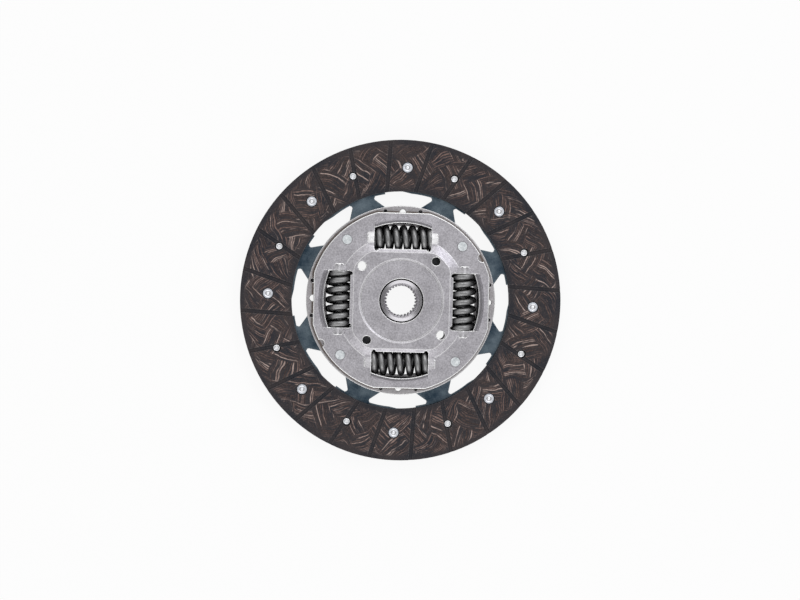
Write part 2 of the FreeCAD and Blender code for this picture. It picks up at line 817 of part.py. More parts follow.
ring_top = "flange_front + friction_ring_thickness"
washer_top = f"{ring_top} + support_washer_thickness"
make_washer("front_friction_ring", "friction_ring_inner", "friction_ring_outer",
            "flange_front", ring_top)
make_washer("support_washer", "seat_radius + bush_clearance", "support_washer_outer",
            ring_top, washer_top)
make_turned("belleville_spring", [
    ("cone_spring_outer", washer_top),
    ("cone_spring_outer", f"{washer_top} + cone_spring_thickness"),
    ("cone_spring_inner", "platform_underside"),
    ("cone_spring_inner", "platform_underside - cone_spring_thickness"),
])
sleeve_end = "-platform_rise"
bush_seat = "flange_back - bush_flange_thickness"
make_turned("centring_bush", [
    ("bush_bore_radius", sleeve_end),
    ("bush_sleeve_radius", sleeve_end),
    ("bush_sleeve_radius", bush_seat),
    ("bush_radius", bush_seat),
    ("bush_radius", "flange_back"),
    ("bush_bore_radius", "flange_back"),
])


# Hub, with its internal spline and the toothed seat that carries the flange

hub_back = "(hub_front - hub_length)"
mouth = "(spline_root_radius + spline_mouth)"
mouth_depth = f"({mouth} - spline_tip_radius)"
hub = make_turned("hub", [
    ("spline_tip_radius", f"{hub_back} + {mouth_depth}"),
    (mouth, hub_back),
    ("hub_radius - hub_chamfer", hub_back),
    ("hub_radius", f"{hub_back} + hub_chamfer"),
    ("hub_radius", "flange_back"),
    ("seat_radius", "flange_back"),
    ("seat_radius", "flange_front"),
    ("hub_radius", "flange_front"),
    ("hub_radius", "hub_front - hub_chamfer"),
    ("hub_radius - hub_chamfer", "hub_front"),
    (mouth, "hub_front - hub_lead_in"),
    ("spline_tip_radius", f"hub_front - hub_lead_in - {mouth_depth}"),
])


def tooth_outline(sketch, root, tip, half_width):
    half = f"({half_width})"
    draw_outline(sketch, [((root, f"-{half}"),), ((tip, f"-{half}"),), ((tip, half),), ((root, half),)])


tooth = new_sketch(hub, "tooth", "flange_back")
tooth_outline(tooth, "seat_radius - 1", "tooth_radius", "tooth_half_width")
tooth_pad = pad(hub, "tooth_pad", tooth, "flange_thickness")
around(hub, "teeth", [tooth_pad], "tooth_count")
space = new_sketch(hub, "spline_space")
draw_outline(space, [
    (("spline_tip_radius - 0.5", "-spline_tip_half_gap"),),
    (("spline_root_radius", "-spline_root_half_gap"),),
    (("spline_root_radius", "spline_root_half_gap"),),
    (("spline_tip_radius - 0.5", "spline_tip_half_gap"),),
])
space_cut = pocket(hub, "spline_space_cut", space)
around(hub, "spline", [space_cut], "spline_count")


# Hub flange, between the covers

flange = new_body("hub_flange")
flange_blank = new_sketch(flange, "blank", "flange_back")
draw_circle(flange_blank, "flange_radius")
draw_circle(flange_blank, "seat_radius + tooth_clearance")
pad(flange, "disc", flange_blank, "flange_thickness")

tooth_slot = new_sketch(flange, "tooth_slot", "flange_back")
tooth_outline(tooth_slot, "seat_radius - 1", "tooth_radius + tooth_clearance",
              "tooth_half_width + tooth_clearance")
slot_cut = pocket(flange, "tooth_slot_cut", tooth_slot)
around(flange, "tooth_slots", [slot_cut], "tooth_count")

flange_window = new_sketch(flange, "window", "flange_back")
draw_outline(flange_window, [
    (("spring_circle - tunnel_radius", "-window_half_length"),),
    (("spring_circle + tunnel_radius", "-window_half_length"),),
    (("spring_circle + tunnel_radius", "window_half_length"),),
    (("spring_circle - tunnel_radius", "window_half_length"),),
])
flange_window_cut = pocket(flange, "window_cut", flange_window)
around(flange, "windows", [flange_window_cut], "spring_count")

notch = new_sketch(flange, "pin_notch", "flange_back", "pin_turn")
low, high = "-(coast_turn + pin_half_turn)", "drive_turn + pin_half_turn"
draw_outline(notch, [
    (polar("pin_notch_floor", low), ("0", "0"), 1),
    (polar("pin_notch_floor", high),),
    (polar("flange_radius * 1.2", high),),
    (polar("flange_radius * 1.2", low),),
])
notch_cut = pocket(flange, "pin_notch_cut", notch)
around(flange, "pin_notches", [notch_cut], "pin_count")
add_hole_ring(flange, "sight_hole", "flange_sight_radius", "flange_sight_circle",
              "sight_hole_turn + 90", "2")


# Damper springs: right-handed coils of round wire with closed, ground ends. The wire's section is
# a polygon, carried along the coil in short straight lengths. A coil is made standing on its
# rear end and then laid along its window.

WIRE_SIDES = 6
CHORDS_PER_TURN = 12


def coil_height(turns):
    """The height of the wire's centre after a number of turns."""
    dead_turns, active_turns = size("spring_dead_turns"), size("spring_active_turns")
    dead, active = size("spring_dead_pitch"), size("spring_active_length") / active_turns
    first = min(turns, dead_turns)
    middle = min(max(turns - dead_turns, 0), active_turns)
    last = max(turns - dead_turns - active_turns, 0)
    return (first + last) * dead + middle * active


def make_coil(start):
    """The ground coil's solid, with the wire starting at an angle, in degrees."""
    coil_radius, length = size("spring_coil_radius"), size("spring_length")
    wire_radius = size("spring_wire") / 2
    total = 2 * size("spring_dead_turns") + size("spring_active_turns")
    count = round(total * CHORDS_PER_TURN)
    rings = []
    for index in range(count + 1):
        turns = total * index / count
        angle = math.radians(start + 360 * turns)
        outward = V(math.cos(angle), math.sin(angle), 0)
        centre = outward * coil_radius + V(0, 0, coil_height(turns))
        ring = []
        for corner in range(WIRE_SIDES):
            lean = 2 * math.pi * (corner + 0.5) / WIRE_SIDES
            ring.append(centre + outward * wire_radius * math.cos(lean)
                        + V(0, 0, wire_radius * math.sin(lean)))
        rings.append(ring)
    faces = [Part.Face(Part.makePolygon(ring + ring[:1])) for ring in (rings[0], rings[-1])]
    for ring, following in zip(rings, rings[1:]):
        for corner in range(WIRE_SIDES):
            a, b = ring[corner - 1], ring[corner]
            c, d = following[corner], following[corner - 1]
            faces.append(Part.Face(Part.makePolygon([a, b, c, a])))
            faces.append(Part.Face(Part.makePolygon([a, c, d, a])))
    shell = Part.Shell(faces)
    shell.sewShape()
    coil = Part.Solid(shell)
    if coil.Volume < 0:
        coil.reverse()
    reach = coil_radius + size("spring_wire")
    return coil.common(Part.makeCylinder(reach, length))


for spring_number in range(1, 5):
    spring = doc.addObject("Part::Feature", f"damper_spring_{spring_number}")
    spring.Label = f"damper_spring_{spring_number}"
    spring.Shape = make_coil(90 - size(f"spring_start_{spring_number}"))
    laid = FreeCAD.Placement(V(size("spring_circle"), size("spring_length") / 2,
                               size("damper_middle")), FreeCAD.Rotation(V(1, 0, 0), 90))
    quarter = FreeCAD.Rotation(V(0, 0, 1), 360 / size("spring_count") * (spring_number - 1))
    spring.Placement = FreeCAD.Placement(V(), quarter).multiply(laid)


# Check every object, then write one file for each piece

doc.recompute()
for item in doc.Objects:
    if {"Invalid", "Error"} & set(item.State):
        raise RuntimeError(f"{item.Label} failed: {item.State}")

pieces = [item for item in doc.Objects
          if item.TypeId in ("PartDesign::Body", "Part::Feature")]
for piece in pieces:
    if piece.Shape.isNull() or not piece.Shape.isValid():
        raise RuntimeError(f"{piece.Label} has no valid shape")
    print(f"{piece.Label}: {len(piece.Shape.Solids)} solids, {piece.Shape.Volume:.0f} mm3")
for piece in pieces:
    piece.Shape.exportStep(f"parts/{piece.Label}.step")
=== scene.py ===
# %% [markdown]
# # A clutch disc with a sprung damper
#
# This lesson dresses a finished CAD model of a car's clutch disc. Two grooved friction rings are
# riveted to a thin waved sheet of blued steel. In the middle, two pressed steel covers hold four
# coil springs and a splined hub. The CAD solids are already right in size and place, so most of
# them keep their shape and only get a finish. The springs and the small rivets are modelled
# again, because their round wire and rolled edges need more detail than the solids carry.

# %% Load the CAD model
import math

import bmesh
import bpy
from mathutils import Matrix, Vector


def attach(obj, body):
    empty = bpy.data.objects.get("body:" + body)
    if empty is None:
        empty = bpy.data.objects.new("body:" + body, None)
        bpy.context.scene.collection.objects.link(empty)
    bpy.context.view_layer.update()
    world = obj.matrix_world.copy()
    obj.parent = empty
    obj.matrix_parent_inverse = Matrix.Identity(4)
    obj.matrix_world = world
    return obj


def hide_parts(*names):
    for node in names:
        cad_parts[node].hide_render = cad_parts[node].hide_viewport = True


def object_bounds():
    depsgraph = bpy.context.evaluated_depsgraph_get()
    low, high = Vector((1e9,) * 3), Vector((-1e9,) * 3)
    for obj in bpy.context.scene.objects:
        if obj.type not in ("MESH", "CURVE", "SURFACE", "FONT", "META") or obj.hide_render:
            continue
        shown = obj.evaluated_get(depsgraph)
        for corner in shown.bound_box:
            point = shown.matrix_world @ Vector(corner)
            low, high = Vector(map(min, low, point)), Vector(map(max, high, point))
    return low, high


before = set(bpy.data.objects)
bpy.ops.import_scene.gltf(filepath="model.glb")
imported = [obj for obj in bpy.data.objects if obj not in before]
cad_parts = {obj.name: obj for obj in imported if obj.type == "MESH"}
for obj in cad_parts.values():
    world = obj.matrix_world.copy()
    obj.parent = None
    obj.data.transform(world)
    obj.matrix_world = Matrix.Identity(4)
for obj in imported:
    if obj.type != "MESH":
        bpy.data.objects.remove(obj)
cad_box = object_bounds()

MM = 0.001
print("CAD nodes:", ", ".join(sorted(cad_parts)))

# %% [markdown]
# ## The camera
#
# The disc lies flat and the camera looks down on it from far away with a long lens, so its
# circles stay nearly round. The camera leans under three degrees to the upper left of the disc's
# axis. That small lean is what shows a sliver of wall inside the bore and the windows.

# %% Set up the camera
CAMERA_LEAN = math.radians(2.6)
CAMERA_LEAN_TURN = math.radians(150.5)
CAMERA_ROLL = math.radians(1.55)
CAMERA_DISTANCE = 1.6
CAMERA_REACH = 10
PICTURE_PIXELS = 800
MM_PER_PIXEL = 0.7107
FRAME_WIDTH = PICTURE_PIXELS * MM_PER_PIXEL * MM
SENSOR_WIDTH = 36.0
AIM = Vector((-0.49 * MM, 0.22 * MM, 4.2 * MM))

lean_turn = CAMERA_LEAN_TURN + CAMERA_ROLL
view_out = Vector((math.sin(CAMERA_LEAN) * math.cos(lean_turn),
                   math.sin(CAMERA_LEAN) * math.sin(lean_turn),
                   math.cos(CAMERA_LEAN)))
picture_up = Vector((-math.sin(CAMERA_ROLL), math.cos(CAMERA_ROLL), 0))
picture_right = picture_up.cross(view_out).normalized()
picture_up = view_out.cross(picture_right)
camera_place = Matrix((picture_right, picture_up, view_out)).transposed().to_4x4()
camera_place.translation = AIM + view_out * CAMERA_DISTANCE

camera = bpy.data.objects.new("camera", bpy.data.cameras.new("camera"))
bpy.context.scene.collection.objects.link(camera)
camera.matrix_world = camera_place
camera.data.sensor_width = SENSOR_WIDTH
camera.data.lens = SENSOR_WIDTH * CAMERA_DISTANCE / FRAME_WIDTH
camera.data.clip_end = CAMERA_REACH
bpy.context.scene.camera = camera
print(f"lens {camera.data.lens:.0f} mm from {CAMERA_DISTANCE} m")

# %% [markdown]
# ## Mixing finishes
#
# Every finish below is a tree of shader nodes around one Principled shader. A small helper adds a
# node, wires its inputs and hands back its output, so that a recipe reads like a sum. Patterns
# read Object coordinates, which are metres in the model's own frame and stay on the piece.

# %% A helper for shader nodes


class Wiring:
    """A node tree being wired. Each method adds one node and returns its output."""

    def __init__(self, tree):
        self.tree = tree

    def node(self, kind, inputs=(), output=0, **settings):
        made = self.tree.nodes.new(kind)
        for key, value in settings.items():
            setattr(made, key, value)
        self.wire(made, inputs)
        return made.outputs[output]

    def wire(self, made, inputs):
        pairs = inputs.items() if isinstance(inputs, dict) else enumerate(inputs)
        for key, value in pairs:
            if isinstance(value, bpy.types.NodeSocket):
                self.tree.links.new(value, made.inputs[key])
            elif value is not None:
                made.inputs[key].default_value = value

    def math(self, operation, *values, clamp=False):
        return self.node("ShaderNodeMath", values, operation=operation, use_clamp=clamp)

    def split(self, vector):
        """The three numbers of a vector."""
        return tuple(self.node("ShaderNodeSeparateXYZ", (vector,)).node.outputs)

    def range(self, value, low, high, to_low=0.0, to_high=1.0):
        """A value between low and high brought to another range and held there."""
        return self.node("ShaderNodeMapRange", (value, low, high, to_low, to_high), clamp=True)

    def blend(self, factor, first, second):
        """One colour over another."""
        made = self.tree.nodes.new("ShaderNodeMix")
        made.data_type = "RGBA"
        self.wire(made, {0: factor, 6: first, 7: second})
        return made.outputs[2]


print("wiring helper ready")

# %% A material on the piece's own coordinates
BEVEL_SAMPLES = 6
# An edge shows from the first of these cosines between the two normals, and is full at the second.
EDGE_STARTS, EDGE_FULL = 0.9985, 0.990


class Finish(Wiring):
    """A material being mixed, on the object's own coordinates."""

    def __init__(self, name):
        self.material = bpy.data.materials.new(name)
        self.material.use_nodes = True
        super().__init__(self.material.node_tree)
        self.shader = self.tree.nodes["Principled BSDF"]
        self.place = self.node("ShaderNodeTexCoord", output="Object")
        self.x, self.y, self.z = self.split(self.place)

    def noise(self, scale, detail=2.0, roughness=0.5, vector=None):
        return self.node("ShaderNodeTexNoise", {"Vector": vector or self.place, "Scale": scale,
                                                "Detail": detail, "Roughness": roughness})

    def reach(self):
        """The distance from the disc's axis."""
        flat = self.node("ShaderNodeVectorMath", {0: self.place, 1: (1, 1, 0)},
                         operation="MULTIPLY")
        return self.node("ShaderNodeVectorMath", {0: flat}, output="Value", operation="LENGTH")

    def edges(self, radius):
        """A normal that rolls over each edge, and how far it has turned from the true one."""
        rolled = self.node("ShaderNodeBevel", {"Radius": radius}, samples=BEVEL_SAMPLES)
        true = self.node("ShaderNodeNewGeometry", output="True Normal")
        same = self.node("ShaderNodeVectorMath", {0: rolled, 1: true}, output="Value",
                         operation="DOT_PRODUCT")
        return rolled, self.range(same, EDGE_STARTS, EDGE_FULL)

    def finish(self, colour, roughness, metallic=0.0, bump=None, bump_height=0.0002, normal=None,
               **fixed):
        """Wire the shader. Sockets that are the same all over are set by name."""
        if bump is not None:
            normal = self.node("ShaderNodeBump", {"Strength": 1.0, "Distance": bump_height,
                                                  "Height": bump, "Normal": normal},
                               output="Normal")
        self.wire(self.shader, {"Base Color": colour, "Roughness": roughness,
                                "Metallic": metallic, "Normal": normal, **fixed})
        return self.material


def grey(level):
    return (level, level, level, 1)


def dress(material, *nodes):
    """Give CAD nodes one finish."""
    for name in nodes:
        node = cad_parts[name]
        node.data.materials.clear()
        node.data.materials.append(material)


print("finish helper ready")

# %% [markdown]
# ## The friction facings
#
# A wound facing is yarn laid round the ring in waves, from its inner edge to its outer edge and
# back, then pressed hard with resin and ground flat. Grinding cuts through the yarn, so it shows
# as brown and tan dashes that run in bundles over and under each other, in a charcoal ground.
# The waves can be drawn as a formula: a strand swings about the ring's middle radius as it goes
# round. Solved backwards, that gives every point of the ring the number of the rising strand and
# of the falling strand that pass through it, and stripes of those two numbers are the yarn. The
# formula works in millimetres, so the radii that it reads are bare numbers.

# %% Waves of yarn
RING_MIDDLE = 95.6
RING_SWING = 16.4
WAVES = 7
STRANDS = 50
BUNDLES = 2
RISING_LAYER, FALLING_LAYER = 0.5, 400.5
YARN_INSIDE = (79.0, 83.5)
YARN_OUTSIDE = (109.0, 111.4)
FACE_STARTS, FACE_FULL = 3.95 * MM, 4.15 * MM


def wound_waves(yarn, reach):
    """The rising and the falling strand's number at each point, and the drift of the waves."""
    turn = yarn.math("ARCTAN2", yarn.y, yarn.x)
    drift = yarn.math("MULTIPLY_ADD", yarn.noise(34.0, 2.0), 18.0, -9.0)
    swing = yarn.math("DIVIDE", yarn.math("ADD", yarn.math("SUBTRACT", reach, RING_MIDDLE), drift),
                      RING_SWING)
    rise = yarn.math("ARCSINE", yarn.range(swing, -0.995, 0.995, -0.995, 0.995))
    moved = yarn.node("ShaderNodeVectorMath", {0: yarn.place, 1: (0.3, 0.2, 0.1)}, operation="ADD")
    sway = yarn.math("MULTIPLY_ADD", yarn.noise(30.0, 2.0, vector=moved), 0.12, -0.06)
    around = yarn.math("MULTIPLY", yarn.math("ADD", turn, sway), float(WAVES))
    rising = yarn.math("SUBTRACT", rise, around)
    falling = yarn.math("SUBTRACT", math.pi, yarn.math("ADD", rise, around))
    return rising, falling, drift


def strands(yarn, number, wander, layer):
    """How much yarn shows, and a chance value that stays the same along each strand."""
    count = yarn.math("MULTIPLY_ADD", number, STRANDS / (2 * math.pi), wander)
    which = yarn.math("FLOORED_MODULO", yarn.math("FLOOR", count), float(STRANDS * WAVES))
    chance = yarn.node("ShaderNodeTexWhiteNoise", {"W": yarn.math("ADD", which, layer)},
                       output="Value", noise_dimensions="1D")
    across = yarn.math("ABSOLUTE", yarn.math("SUBTRACT", yarn.math("FRACT", count), 0.5))
    line = yarn.range(across, 0.37, 0.15)
    lift = yarn.node("ShaderNodeCombineXYZ", {2: yarn.math("MULTIPLY", chance, 9.0)})
    slice_place = yarn.node("ShaderNodeVectorMath", {0: yarn.place, 1: lift}, operation="ADD")
    cut = yarn.range(yarn.noise(75.0, 2.0, 0.6, vector=slice_place), 0.40, 0.54)
    return yarn.math("MULTIPLY", line, cut), chance


def wound_yarn(yarn, reach):
    """How much yarn shows on the ring's face, and the chance value of the strand on top."""
    rising, falling, drift = wound_waves(yarn, reach)
    wander = yarn.math("MULTIPLY_ADD", yarn.noise(130.0, 3.0), 1.6, -0.8)
    over = yarn.math("MULTIPLY", yarn.math("SINE", yarn.math("MULTIPLY", rising, float(BUNDLES))),
                     yarn.math("SINE", yarn.math("MULTIPLY", falling, float(BUNDLES))))
    over = yarn.math("ADD", over, yarn.math("MULTIPLY_ADD", yarn.noise(60.0, 1.0), 2.0, -1.0))
    on_top = yarn.range(over, -0.12, 0.12)
    under = yarn.math("SUBTRACT", 1.0, on_top)
    first, first_chance = strands(yarn, rising, wander, RISING_LAYER)
    second, second_chance = strands(yarn, falling, wander, FALLING_LAYER)
    strand = yarn.math("ADD", yarn.math("MULTIPLY", first, on_top),
                       yarn.math("MULTIPLY", second, under))
    chance = yarn.math("ADD", yarn.math("MULTIPLY", first_chance, on_top),
                       yarn.math("MULTIPLY", second_chance, under))
    wavy = yarn.math("MULTIPLY_ADD", drift, 0.3, reach)
    inner_edge = yarn.range(wavy, *YARN_INSIDE)
    outer_edge = yarn.range(wavy, *YARN_OUTSIDE, 1.0, 0.0)
    face = yarn.range(yarn.math("ABSOLUTE", yarn.z), FACE_STARTS, FACE_FULL)
    shown = yarn.math("MULTIPLY", yarn.math("MULTIPLY", inner_edge, outer_edge), face)
    return yarn.math("MULTIPLY", strand, shown), chance


print(f"{STRANDS * WAVES} strands in {WAVES} waves")

# %% [markdown]
# Colour comes last. The yarn's cut ends run from dark brown to tan, the resin is charcoal with
# pale specks, and use has rubbed the edges of the grooves and holes a little paler.

# %% Colour the facings
FIBRE_DARK, FIBRE_BROWN = (0.036, 0.024, 0.022, 1), (0.185, 0.120, 0.102, 1)
FIBRE_TAN = (0.39, 0.295, 0.26, 1)
RESIN_DARK, RESIN_LIGHT = (0.011, 0.012, 0.018, 1), (0.029, 0.023, 0.025, 1)
SPECK_COLOUR, WORN_COLOUR = (0.080, 0.066, 0.064, 1), (0.115, 0.108, 0.112, 1)
WORN_WIDTH = 0.35 * MM
UNWORN_RIM = (113.4, 112.6)
YARN_HEIGHT = 0.08 * MM
YARN_SHINE = 0.3


def make_facing_finish():
    yarn = Finish("wound facing")
    reach = yarn.math("DIVIDE", yarn.reach(), MM)
    strand, chance = wound_yarn(yarn, reach)
    fray = yarn.noise(650.0, 3.0, 0.7)
    rare = yarn.math("POWER", chance, 2.5)
    tint = yarn.math("MULTIPLY_ADD", fray, 0.7, yarn.math("MULTIPLY_ADD", rare, 0.85, -0.36))
    fibre = yarn.blend(yarn.range(tint, -0.05, 0.32), FIBRE_DARK, FIBRE_BROWN)
    fibre = yarn.blend(yarn.range(tint, 0.40, 0.75), fibre, FIBRE_TAN)
    ground = yarn.blend(yarn.range(yarn.noise(60.0, 4.0), 0.38, 0.62), RESIN_DARK, RESIN_LIGHT)
    speck = yarn.range(yarn.noise(1100.0, 3.0, 0.7), 0.52, 0.70)
    ground = yarn.blend(yarn.math("MULTIPLY", speck, 0.45), ground, SPECK_COLOUR)
    colour = yarn.blend(yarn.math("MULTIPLY", strand, yarn.range(fray, 0.25, 0.5, 0.45, 1.0)),
                        ground, fibre)
    _, pale_edge = yarn.edges(WORN_WIDTH)
    pale_edge = yarn.math("MULTIPLY", pale_edge, yarn.range(fray, 0.35, 0.6, 0.1, 0.9))
    pale_edge = yarn.math("MULTIPLY", pale_edge, yarn.range(reach, *UNWORN_RIM))
    colour = yarn.blend(pale_edge, colour, WORN_COLOUR)
    rough = yarn.range(strand, 0, 1, 0.62, 0.85)
    height = yarn.math("ADD", strand, yarn.math("MULTIPLY", fray, 0.5))
    return yarn.finish(colour, rough, bump=height, bump_height=YARN_HEIGHT,
                       **{"Specular IOR Level": YARN_SHINE})


dress(make_facing_finish(), "front_facing", "rear_facing")
print("facings dressed with wound yarn")

# %% [markdown]
# ## Steel finishes
#
# The covers are cold-rolled sheet, pressed and tumbled: a soft grey with a faint mottle and fine
# scratches. Their edges are painted paler, partly as wear and partly as painted highlight, and are
# found by comparing the true normal with one that is rolled over the edge. The press dulls the
# beads that it draws, and painted shade darkens the corners, so both are masks that read a
# point's distance from the disc's axis or from its X and Y axes. The cushion sheet is heat-treated
# spring steel, so it is blued. The hub was turned on a lathe, and its front is a shallow cone with
# fine rings. The cone mirrors the room close to the horizon, so a light on each of two sides shows
# as two opposite wedges. The rings smear each reflection across themselves, which the shader calls
# anisotropy.

# %% The steel recipe
GRAIN_SCALE = 900.0
GRAIN_HEIGHT = 0.03 * MM
EDGE_WIDTH = 0.85 * MM
DRAWN_ROUGHNESS = 0.6
# A near-black painted shade for the covers' corners and gaps and the hub's outer wall.
PAINTED_SHADE = (0.03, 0.028, 0.03, 1)
TURNED_HEIGHT = 0.02 * MM


def make_steel(name, dark, light, low, high, mottle=70.0, cloudy=0.35, edge=None, shade=None,
               drawn=None):
    """Sheet or wire with a mottle and a fine grain, where cloudy is the mottle's share and its
    roughness lies between low and high. The edge is the paler colour painted on its edges, partly
    as wear and partly as painted highlight, a shade is a function that adds more to its colour, and
    drawn is one that gives the places where the press has stretched the sheet and dulled it."""
    steel = Finish(name)
    cloud = steel.range(steel.noise(mottle, 5.0, 0.6), 0.35, 0.65)
    grain = steel.noise(GRAIN_SCALE, 3.0, 0.65)
    mixed = steel.math("MULTIPLY_ADD", steel.range(grain, 0.35, 0.65), 1 - cloudy,
                       steel.math("MULTIPLY", cloud, cloudy))
    colour = steel.blend(mixed, dark, light)
    if shade:
        colour = shade(steel, colour)
    rough = steel.range(steel.noise(mottle * 2.3, 4.0), 0.3, 0.7, low, high)
    normal = None
    if edge:
        # Edges and creases take the edge colour: partly wear, partly painted highlight.
        normal, pale_edge = steel.edges(EDGE_WIDTH)
        if drawn:
            dulled = drawn(steel)
            rough = steel.math("MAXIMUM", rough, steel.math("MULTIPLY", dulled, DRAWN_ROUGHNESS))
            pale_edge = steel.math("MULTIPLY", pale_edge, steel.math("SUBTRACT", 1.0, dulled))
        colour = steel.blend(pale_edge, colour, edge)
    return steel.finish(colour, rough, 1.0, grain, GRAIN_HEIGHT, normal)


def make_turned_steel(name, dark, light, rings, roughness, stretch, outside):
    """Steel with fine rings about the disc's axis, painted black as shade past the outside radius.
    """
    steel = Finish(name)
    reach = steel.reach()
    line = steel.node("ShaderNodeTexNoise", {"W": reach, "Scale": rings, "Detail": 3.0},
                      noise_dimensions="1D")
    colour = steel.blend(steel.range(line, 0.3, 0.7), dark, light)
    # Past the outside radius the hub is painted black as shade for the deep gap round it.
    colour = steel.blend(steel.range(reach, outside, outside + 0.1 * MM), colour, PAINTED_SHADE)
    tangent = steel.node("ShaderNodeTangent", direction_type="RADIAL", axis="Z")
    return steel.finish(colour, roughness, 1.0, line, TURNED_HEIGHT,
                        Anisotropic=stretch, Tangent=tangent)


print("steel recipes ready")

# %% [markdown]
# The covers repeat every quarter turn. A point's larger and smaller distance from the X and Y
# axes are alike in each quarter, so one mask that reads those two serves all four windows.

# %% Places on the covers
PIN_CIRCLE, PIN_TURN = 57.7 * MM, math.radians(43.0)
SIGHT_CIRCLE, SIGHT_TURN = 37.0 * MM, math.radians(50.0)
OUTLINE_RADIUS, OUTLINE_FLAT = 64.7 * MM, 62.1 * MM
BEAD_CIRCLE = 44.2 * MM
BEAD_START, BEAD_END, BEAD_FADE = 20.3 * MM, 24.7 * MM, 0.4 * MM
HOOD_SLOPE = 57.8 * MM
DULLED_MARGIN = 1.8 * MM


def off(steel, value, middle):
    """How far a value lies from a middle one, to either side."""
    return steel.math("ABSOLUTE", steel.math("SUBTRACT", value, middle))


def front_outline(steel):
    """How far a point lies outside the retainer plate's outline, a circle with four flats."""
    along = steel.math("MAXIMUM", steel.math("ABSOLUTE", steel.x), steel.math("ABSOLUTE", steel.y))
    return steel.math("MAXIMUM", steel.math("SUBTRACT", steel.reach(), OUTLINE_RADIUS),
                      steel.math("SUBTRACT", along, OUTLINE_FLAT))


def folded(steel, place):
    """The larger and the smaller of a point's two distances from the X and Y axes."""
    across, along, _ = steel.split(place)
    across, along = steel.math("ABSOLUTE", across), steel.math("ABSOLUTE", along)
    return steel.math("MAXIMUM", across, along), steel.math("MINIMUM", across, along)


def beads(steel, wide=0.0):
    """The beads that the press has drawn beyond the ends of the windows."""
    far, near = folded(steel, steel.place)
    bead = steel.math("MULTIPLY", steel.range(near, BEAD_START, BEAD_START + BEAD_FADE),
                      steel.range(near, BEAD_END, BEAD_END - BEAD_FADE))
    side = off(steel, far, BEAD_CIRCLE)
    return steel.math("MULTIPLY", bead, steel.range(side, 4.5 * MM + wide, 3.2 * MM + wide))


def drawn_places(steel):
    """The beads, with a margin to each side, and the outer slope of each hood."""
    _, near = folded(steel, steel.place)
    slope = off(steel, steel.reach(), HOOD_SLOPE)
    hood = steel.math("MULTIPLY", steel.range(slope, 2.3 * MM, 1.9 * MM),
                      steel.range(near, 20.8 * MM, 20.2 * MM))
    return steel.math("MAXIMUM", beads(steel, DULLED_MARGIN), hood)


def nearest(steel, circle, turn):
    """The distance from the nearest of four axes on a circle, by folding the disc onto one."""
    turned = steel.node("ShaderNodeVectorRotate", {"Vector": steel.place, "Angle": -turn},
                        rotation_type="Z_AXIS")
    far, side = folded(steel, turned)
    reach = steel.math("SUBTRACT", far, circle)
    return steel.math("SQRT", steel.math("MULTIPLY_ADD", reach, reach,
                                         steel.math("MULTIPLY", side, side)))


print("places found by their distance from the axes")

# %% Painted shade and painted highlights
# Radii and colours of the painted shade and painted highlights on the covers.
STEP_SHADE_RADIUS = 28.6 * MM
COVER_BORE = 15.7 * MM
HOOD_SHADE_COLOUR = (0.13, 0.125, 0.135, 1)
RIM_SHADE_COLOUR = (0.15, 0.115, 0.095, 1)
PAINTED_HIGHLIGHT = grey(0.92)
UNDER_SHADE_COLOUR = (0.045, 0.043, 0.045, 1)


def painted_shade_and_highlights(steel, colour):
    """Painted shade in the corners, on the hood lips and round the bore, pins and sight holes,
    and painted highlights on the beads and the front cover's rim.
    """
    # Painted shade: a dark line at the foot of the coined step and a dark ring round each sight
    # hole.
    away = off(steel, steel.reach(), STEP_SHADE_RADIUS)
    line = steel.math("MULTIPLY", steel.range(away, 0.45 * MM, 0.15 * MM), 0.6)
    sight = steel.range(nearest(steel, SIGHT_CIRCLE, SIGHT_TURN), 3.5 * MM, 3.1 * MM, 0.0, 0.8)
    line = steel.math("MAXIMUM", line, sight)
    # Painted shade on the wall of the cover's bore, beside the hub.
    bore = steel.range(steel.reach(), COVER_BORE + 0.1 * MM, COVER_BORE)
    # Painted shade in a ring round each stop pin.
    pin = nearest(steel, PIN_CIRCLE, PIN_TURN)
    pin_ring_shade = steel.math("MULTIPLY", steel.range(pin, 4.0 * MM, 3.5 * MM), 0.45)
    # Painted shade along the upper edge of each hood.
    lip = steel.math("MULTIPLY", steel.range(steel.z, 15.45 * MM, 15.7 * MM),
                     steel.range(steel.reach(), 55.0 * MM, 55.4 * MM, 0.0, 0.75))
    lip = steel.math("MULTIPLY", lip, steel.range(steel.reach(), 57.2 * MM, 56.6 * MM))
    shaded_and_lit = steel.blend(lip, colour, HOOD_SHADE_COLOUR)
    # Painted highlight on the beads, brighter on the top window's beads.
    bead_light = steel.range(steel.y, 24.0 * MM, 34.0 * MM, 0.25, 0.75)
    shaded_and_lit = steel.blend(steel.math("MULTIPLY", beads(steel), bead_light), shaded_and_lit, PAINTED_HIGHLIGHT)
    # The step line, the bore and the pin rings all get the near-black painted shade.
    shade_mask = steel.math("MAXIMUM", steel.math("MAXIMUM", line, bore), pin_ring_shade)
    shaded_and_lit = steel.blend(shade_mask, shaded_and_lit, PAINTED_SHADE)
    # Painted highlight along the front cover's outline.
    rim = steel.math("MULTIPLY", steel.range(front_outline(steel), -0.85 * MM, -0.45 * MM),
                     steel.range(steel.z, 14.6 * MM, 14.9 * MM))
    return steel.blend(rim, shaded_and_lit, PAINTED_HIGHLIGHT)


def shaded_rim(steel, colour):
    """Brown painted shade on the rear cover's face, in the gap where the front cover's edge
    hangs over it.
    """
    outside = front_outline(steel)
    rim_shade = steel.math("MULTIPLY", steel.range(outside, 1.5 * MM, 0.8 * MM),
                       steel.range(outside, -0.9 * MM, -0.4 * MM))
    rim_shade = steel.math("MULTIPLY", rim_shade, steel.range(steel.z, 2.0 * MM, 2.7 * MM))
    return steel.blend(steel.math("MULTIPLY", rim_shade, 0.85), colour, RIM_SHADE_COLOUR)


